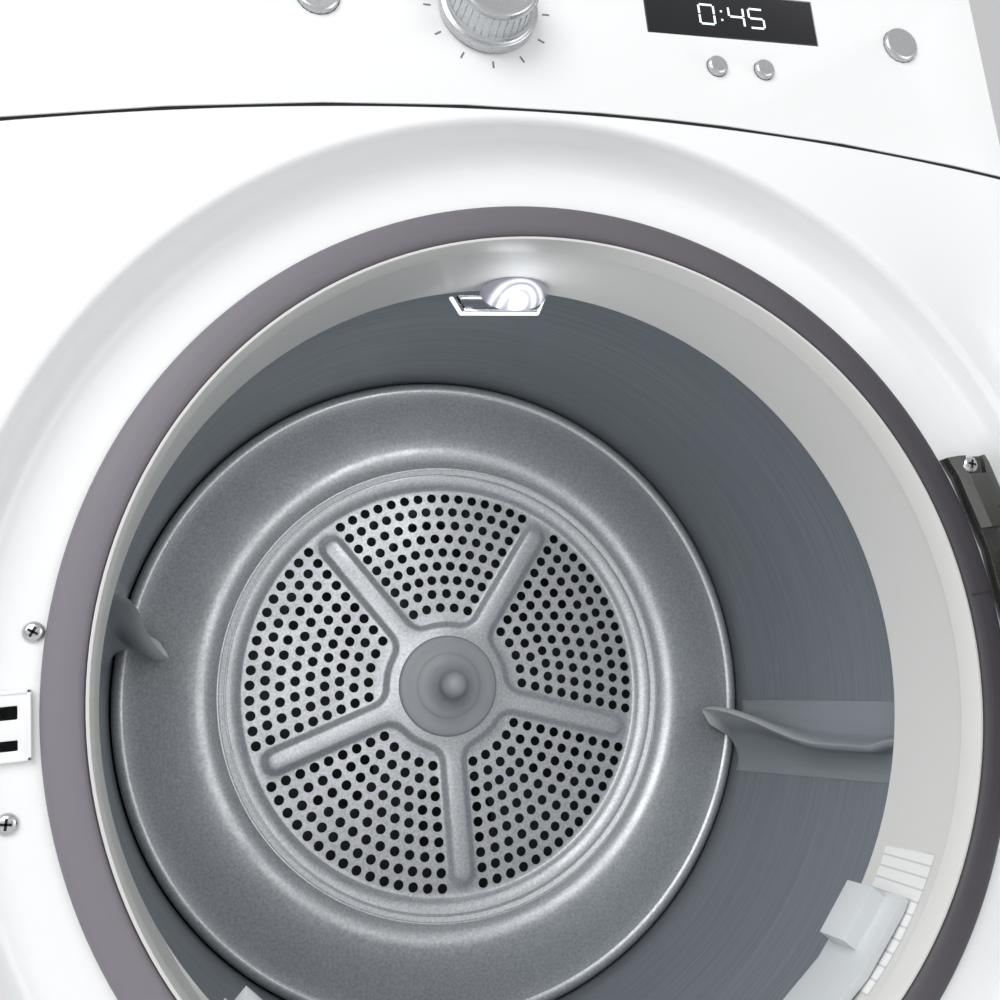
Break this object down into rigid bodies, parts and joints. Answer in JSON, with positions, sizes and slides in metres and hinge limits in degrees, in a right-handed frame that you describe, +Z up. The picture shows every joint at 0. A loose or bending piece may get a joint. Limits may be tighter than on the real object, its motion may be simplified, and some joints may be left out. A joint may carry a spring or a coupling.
{
  "type": "clothes dryer",
  "caption": "Front-loading drum dryer with a round side-hinged door, perforated rear drum wall, lifters, blower, lint filter and levelling feet.",
  "frame": {"origin": "centre of the base tray's underside, 15 mm above the floor", "axes": "+Z up, +X to the right of someone facing the door, +Y from the front to the back"},
  "size_m": [0.8599, 1.0925, 0.845],
  "materials": {
    "white_enamel": "gloss",
    "white_plastic": "gloss",
    "white_laminate": "laminated",
    "galvanised_steel": "satin",
    "drum_steel": "brushed",
    "rear_wall_steel": "grained",
    "plated_steel": "polished",
    "motor_can": "satin",
    "seal_rubber": "matt",
    "drive_rubber": "matt",
    "felt": "felt",
    "throat_plastic": "satin",
    "frame_plastic": "satin",
    "lifter_plastic": "satin",
    "hub_plastic": "matt",
    "dark_plastic": "matt",
    "fan_plastic": "matt",
    "hinge_metal": "satin",
    "clear_plastic": "clear",
    "filter_plastic": "translucent",
    "door_glass": "clear",
    "smoked_window": "gloss",
    "silver_trim": "satin",
    "circuit_board": "satin"
  },
  "bodies": {
    "cabinet": {"side_panel_left": "white_enamel", "side_panel_right": "white_enamel", "rear_panel": "galvanised_steel", "top_panel": "white_laminate", "base_tray": "dark_plastic", "toe_panel": "white_plastic", "front_panel": "white_enamel", "control_fascia": "white_plastic", "display_window": "smoked_window", "control_board": "circuit_board", "door_seal": "seal_rubber", "throat_ring": "throat_plastic", "front_end_shield": "galvanised_steel", "felt_ring": "felt", "lamp_lens": "clear_plastic", "filter_housing": "throat_plastic", "latch_strike": "white_plastic", "hinge_bracket": "hinge_metal", "hinge_pin": "plated_steel", "rear_bulkhead": "galvanised_steel", "bearing_bush": "dark_plastic", "air_channel": "galvanised_steel", "heater_box": "galvanised_steel", "power_inlet": "dark_plastic", "motor": "motor_can", "motor_bracket": "galvanised_steel", "fan_housing": "fan_plastic", "drive_belt": "drive_rubber", "exhaust_duct": "galvanised_steel", "roller_axle_left": "plated_steel", "roller_axle_right": "plated_steel"},
    "drum": {"drum_shell": "drum_steel", "drum_rear_wall": "rear_wall_steel", "hub_cap": "hub_plastic", "drum_shaft": "plated_steel", "lifter_right": "lifter_plastic", "lifter_left": "lifter_plastic"},
    "roller_left": {"drum_roller_left": "drive_rubber"},
    "roller_right": {"drum_roller_right": "drive_rubber"},
    "motor_rotor": {"motor_shaft": "plated_steel", "fan_wheel": "fan_plastic"},
    "idler": {"idler_arm": "plated_steel"},
    "idler_tread": {"idler_wheel": "dark_plastic"},
    "filter": {"lint_filter": "filter_plastic"},
    "knob": {"program_knob": "silver_trim"},
    "power_key": {"power_button": "silver_trim"},
    "start_key": {"start_button": "silver_trim"},
    "option_key_1": {"option_button_1": "silver_trim"},
    "option_key_2": {"option_button_2": "silver_trim"},
    "foot_fl": {"foot_front_left": "dark_plastic"},
    "foot_fr": {"foot_front_right": "dark_plastic"},
    "foot_rl": {"foot_rear_left": "dark_plastic"},
    "foot_rr": {"foot_rear_right": "dark_plastic"},
    "door": {"door_ring": "white_plastic", "door_window": "smoked_window", "door_frame": "frame_plastic", "door_bowl": "door_glass", "door_hinge_arm": "hinge_metal", "door_hook": "plated_steel", "door_handle": "silver_trim"}
  },
  "joints": [
    {"name": "door_hinge", "type": "hinge", "parent": "cabinet", "child": "door", "pos_m": [0.268, -0.291, 0.405], "axis": [0, 0, 1], "range_deg": [-120, 0]},
    {"name": "drum_spin", "type": "hinge", "parent": "cabinet", "child": "drum", "pos_m": [0, -0.04, 0.405], "axis": [0, 1, 0], "continuous": true},
    {"name": "roller_left_spin", "type": "hinge", "parent": "cabinet", "child": "roller_left", "pos_m": [-0.1652, -0.159, 0.169], "axis": [0, 1, 0], "continuous": true},
    {"name": "roller_right_spin", "type": "hinge", "parent": "cabinet", "child": "roller_right", "pos_m": [0.1652, -0.159, 0.169], "axis": [0, 1, 0], "continuous": true},
    {"name": "motor_spin", "type": "hinge", "parent": "cabinet", "child": "motor_rotor", "pos_m": [0.15, -0.04, 0.088], "axis": [0, 1, 0], "continuous": true},
    {"name": "idler_swing", "type": "hinge", "parent": "cabinet", "child": "idler", "pos_m": [0.23488, 0.042, 0.07917], "axis": [0, 1, 0], "range_deg": [0, 14], "stiffness_Nm_per_rad": 4, "springref_deg": -11.46},
    {"name": "idler_wheel_spin", "type": "hinge", "parent": "idler", "child": "idler_tread", "pos_m": [0.1976, 0.042, 0.1236], "axis": [0, 1, 0], "continuous": true},
    {"name": "filter_lift", "type": "slide", "parent": "cabinet", "child": "filter", "axis": [0, 0, 1], "range_m": [0, 0.12]},
    {"name": "knob_turn", "type": "hinge", "parent": "cabinet", "child": "knob", "pos_m": [-0.02, -0.292, 0.757], "axis": [0, 1, 0], "continuous": true},
    {"name": "power_press", "type": "slide", "parent": "cabinet", "child": "power_key", "axis": [0, 1, 0], "range_m": [0, 0.002], "stiffness_N_per_m": 500, "springref_m": -0.002},
    {"name": "start_press", "type": "slide", "parent": "cabinet", "child": "start_key", "axis": [0, 1, 0], "range_m": [0, 0.002], "stiffness_N_per_m": 500, "springref_m": -0.002},
    {"name": "option_press_1", "type": "slide", "parent": "cabinet", "child": "option_key_1", "axis": [0, 1, 0], "range_m": [0, 0.002], "stiffness_N_per_m": 500, "springref_m": -0.002},
    {"name": "option_press_2", "type": "slide", "parent": "cabinet", "child": "option_key_2", "axis": [0, 1, 0], "range_m": [0, 0.002], "stiffness_N_per_m": 500, "springref_m": -0.002},
    {"name": "foot_front_left_turn", "type": "hinge", "parent": "cabinet", "child": "foot_fl", "pos_m": [-0.25, -0.218, 0.0015], "axis": [0, 0, 1], "range_deg": [-360, 360]},
    {"name": "foot_front_right_turn", "type": "hinge", "parent": "cabinet", "child": "foot_fr", "pos_m": [0.25, -0.218, 0.0015], "axis": [0, 0, 1], "range_deg": [-360, 360]},
    {"name": "foot_rear_left_turn", "type": "hinge", "parent": "cabinet", "child": "foot_rl", "pos_m": [-0.25, 0.218, 0.0015], "axis": [0, 0, 1], "range_deg": [-360, 360]},
    {"name": "foot_rear_right_turn", "type": "hinge", "parent": "cabinet", "child": "foot_rr", "pos_m": [0.25, 0.218, 0.0015], "axis": [0, 0, 1], "range_deg": [-360, 360]}
  ],
  "couplings": [
    {"joint": "roller_left_spin", "follows": "drum_spin", "ratio": -10.988},
    {"joint": "roller_right_spin", "follows": "drum_spin", "ratio": -10.988},
    {"joint": "motor_spin", "follows": "drum_spin", "ratio": 21.975},
    {"joint": "idler_wheel_spin", "follows": "drum_spin", "ratio": -16.481}
  ]
}
